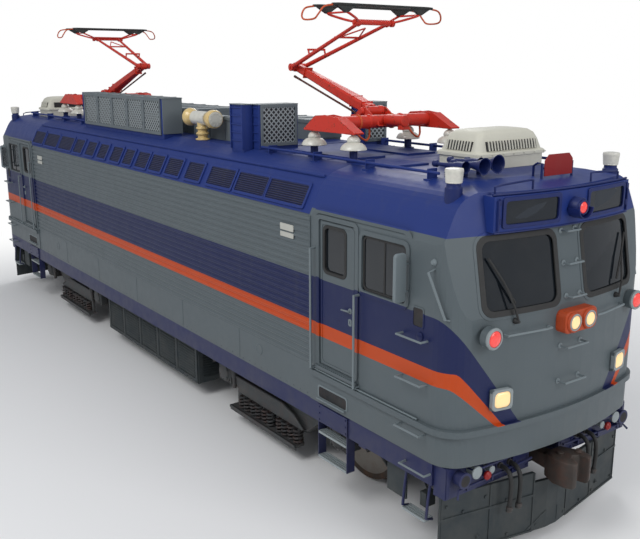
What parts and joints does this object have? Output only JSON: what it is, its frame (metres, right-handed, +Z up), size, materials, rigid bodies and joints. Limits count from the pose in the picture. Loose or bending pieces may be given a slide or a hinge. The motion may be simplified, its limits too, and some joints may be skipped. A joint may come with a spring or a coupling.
{
  "type": "electric locomotive",
  "caption": "Mainline electric locomotive with a cab at each end, corrugated sides, powered bogies, automatic couplers and single-arm pantographs on the roof.",
  "frame": {"origin": "on the floor under the middle of the body, at the height of the wheel flanges' lowest point", "axes": "+X to the front end, +Y to the left side, +Z up"},
  "size_m": [15.59, 3.392, 5.712],
  "materials": {
    "blue_paint": "satin navy blue, dusty",
    "grey_side_paint": "satin grey with an orange and a navy band",
    "roof_paint": "satin blue, faded on top",
    "cab_paint": "satin grey with orange and navy bands that sweep down the nose",
    "interior_paint": "semi-gloss pale grey",
    "dark_paint": "dark grey, dusty",
    "window_glass": "dark tinted",
    "desk_plastic": "matt dark grey",
    "seat_fabric": "woven dark blue",
    "grey_steel": "satin grey",
    "black_plastic": "matt black",
    "lamp_glass": "lamp lenses in painted rings",
    "board_dark": "blank dark number board",
    "duct_grey": "satin grey",
    "tan_ceramic": "glazed tan",
    "beige_paint": "matt beige",
    "horn_steel": "satin grey",
    "lantern_white": "milky white",
    "pantograph_red": "satin red, chipped to rust",
    "insulator_ceramic": "glazed off-white",
    "cast_fittings": "cast grey",
    "hose_rubber": "black rubber",
    "wheel_steel": "dark steel with bright treads",
    "spring_steel": "dusty dark grey",
    "motor_iron": "cast, dusty",
    "bogie_paint": "dark grey, dusty brown",
    "collector_black": "carbon strips and dark tube",
    "rusty_steel": "dark red, rusty",
    "coupler_iron": "cast iron, rust brown"
  },
  "bodies": {
    "carbody": {"underframe": "blue_paint", "left_side_wall": "grey_side_paint", "right_side_wall": "grey_side_paint", "roof": "roof_paint", "front_cab": "cab_paint", "rear_cab": "cab_paint", "bulkheads": "interior_paint", "end_beams": "blue_paint", "pilots": "dark_paint", "windscreens": "window_glass", "cab_side_windows": "window_glass", "cab_desks": "desk_plastic", "cab_seats": "seat_fabric", "steps": "blue_paint", "handrails": "grey_steel", "mirrors": "grey_steel", "end_lamps": "lamp_glass", "sign_plates": "board_dark", "wipers": "black_plastic", "main_transformer": "dark_paint", "roof_screens": "roof_paint", "roof_ducts": "duct_grey", "circuit_breaker": "tan_ceramic", "air_conditioners": "beige_paint", "horns": "horn_steel", "roof_lanterns": "lantern_white", "pantograph_bases": "pantograph_red", "roof_insulators": "insulator_ceramic", "hose_fittings": "cast_fittings", "front_hoses": "hose_rubber", "rear_hoses": "hose_rubber"},
    "front_bogie": {"front_bogie_frame": "bogie_paint", "front_bogie_springs": "spring_steel", "front_motors": "motor_iron"},
    "rear_bogie": {"rear_bogie_frame": "bogie_paint", "rear_bogie_springs": "spring_steel", "rear_motors": "motor_iron"},
    "wheelset_1": {"wheelset_1": "wheel_steel"},
    "wheelset_2": {"wheelset_2": "wheel_steel"},
    "wheelset_3": {"wheelset_3": "wheel_steel"},
    "wheelset_4": {"wheelset_4": "wheel_steel"},
    "front_left_door": {"front_left_door": "cab_paint"},
    "front_right_door": {"front_right_door": "cab_paint"},
    "rear_left_door": {"rear_left_door": "cab_paint"},
    "rear_right_door": {"rear_right_door": "cab_paint"},
    "front_lower_arm": {"front_lower_arm": "pantograph_red"},
    "front_upper_arm": {"front_upper_arm": "pantograph_red"},
    "front_head": {"front_head": "collector_black"},
    "front_coupling_rod": {"front_coupling_rod": "rusty_steel"},
    "rear_lower_arm": {"rear_lower_arm": "pantograph_red"},
    "rear_upper_arm": {"rear_upper_arm": "pantograph_red"},
    "rear_head": {"rear_head": "collector_black"},
    "rear_coupling_rod": {"rear_coupling_rod": "rusty_steel"},
    "front_coupler": {"front_coupler": "coupler_iron"},
    "rear_coupler": {"rear_coupler": "coupler_iron"}
  },
  "joints": [
    {"name": "front_bogie_yaw", "type": "hinge", "parent": "carbody", "child": "front_bogie", "pos_m": [3.86, 0, 0.65], "axis": [0, 0, 1], "range_deg": [-3, 3]},
    {"name": "rear_bogie_yaw", "type": "hinge", "parent": "carbody", "child": "rear_bogie", "pos_m": [-3.86, 0, 0.65], "axis": [0, 0, 1], "range_deg": [-3, 3]},
    {"name": "wheelset_1_spin", "type": "hinge", "parent": "front_bogie", "child": "wheelset_1", "pos_m": [5.235, 0, 0.65], "axis": [0, 1, 0], "continuous": true},
    {"name": "wheelset_2_spin", "type": "hinge", "parent": "front_bogie", "child": "wheelset_2", "pos_m": [2.485, 0, 0.65], "axis": [0, 1, 0], "continuous": true},
    {"name": "wheelset_3_spin", "type": "hinge", "parent": "rear_bogie", "child": "wheelset_3", "pos_m": [-2.485, 0, 0.65], "axis": [0, 1, 0], "continuous": true},
    {"name": "wheelset_4_spin", "type": "hinge", "parent": "rear_bogie", "child": "wheelset_4", "pos_m": [-5.235, 0, 0.65], "axis": [0, 1, 0], "continuous": true},
    {"name": "front_left_door_hinge", "type": "hinge", "parent": "carbody", "child": "front_left_door", "pos_m": [5.224, 1.432, 2.5], "axis": [0, 0, -1], "range_deg": [0, 90]},
    {"name": "front_right_door_hinge", "type": "hinge", "parent": "carbody", "child": "front_right_door", "pos_m": [5.224, -1.432, 2.5], "axis": [0, 0, 1], "range_deg": [0, 90]},
    {"name": "rear_left_door_hinge", "type": "hinge", "parent": "carbody", "child": "rear_left_door", "pos_m": [-5.224, 1.432, 2.5], "axis": [0, 0, 1], "range_deg": [0, 90]},
    {"name": "rear_right_door_hinge", "type": "hinge", "parent": "carbody", "child": "rear_right_door", "pos_m": [-5.224, -1.432, 2.5], "axis": [0, 0, -1], "range_deg": [0, 90]},
    {"name": "front_lower_arm_lift", "type": "hinge", "parent": "carbody", "child": "front_lower_arm", "pos_m": [4.3, 0, 4.44], "axis": [0, 1, 0], "range_deg": [-15.8, 26]},
    {"name": "front_knee", "type": "hinge", "parent": "front_lower_arm", "child": "front_upper_arm", "pos_m": [2.61952, 0, 4.97308], "axis": [0, 1, 0], "range_deg": [-52.1, 31.7]},
    {"name": "front_head_level", "type": "hinge", "parent": "front_upper_arm", "child": "front_head", "pos_m": [4.3, 0, 5.50616], "axis": [0, 1, 0], "range_deg": [-15.9, 26.1]},
    {"name": "front_coupling_rod_lift", "type": "hinge", "parent": "carbody", "child": "front_coupling_rod", "pos_m": [4.1, 0, 4.35], "axis": [0, 1, 0], "range_deg": [-15.9, 26.1]},
    {"name": "rear_lower_arm_lift", "type": "hinge", "parent": "carbody", "child": "rear_lower_arm", "pos_m": [-4.3, 0, 4.44], "axis": [0, -1, 0], "range_deg": [-15.8, 26]},
    {"name": "rear_knee", "type": "hinge", "parent": "rear_lower_arm", "child": "rear_upper_arm", "pos_m": [-2.61952, 0, 4.97308], "axis": [0, -1, 0], "range_deg": [-52.1, 31.7]},
    {"name": "rear_head_level", "type": "hinge", "parent": "rear_upper_arm", "child": "rear_head", "pos_m": [-4.3, 0, 5.50616], "axis": [0, -1, 0], "range_deg": [-15.9, 26.1]},
    {"name": "rear_coupling_rod_lift", "type": "hinge", "parent": "carbody", "child": "rear_coupling_rod", "pos_m": [-4.1, 0, 4.35], "axis": [0, -1, 0], "range_deg": [-15.9, 26.1]},
    {"name": "front_coupler_swing", "type": "hinge", "parent": "carbody", "child": "front_coupler", "pos_m": [6.85, 0, 0.88], "axis": [0, 0, 1], "range_deg": [-7, 7]},
    {"name": "rear_coupler_swing", "type": "hinge", "parent": "carbody", "child": "rear_coupler", "pos_m": [-6.85, 0, 0.88], "axis": [0, 0, 1], "range_deg": [-7, 7]}
  ],
  "couplings": [
    {"joint": "front_knee", "follows": "front_lower_arm_lift", "ratio": -2},
    {"joint": "front_head_level", "follows": "front_lower_arm_lift", "ratio": 1},
    {"joint": "front_coupling_rod_lift", "follows": "front_lower_arm_lift", "ratio": 1},
    {"joint": "rear_knee", "follows": "rear_lower_arm_lift", "ratio": -2},
    {"joint": "rear_head_level", "follows": "rear_lower_arm_lift", "ratio": 1},
    {"joint": "rear_coupling_rod_lift", "follows": "rear_lower_arm_lift", "ratio": 1}
  ]
}
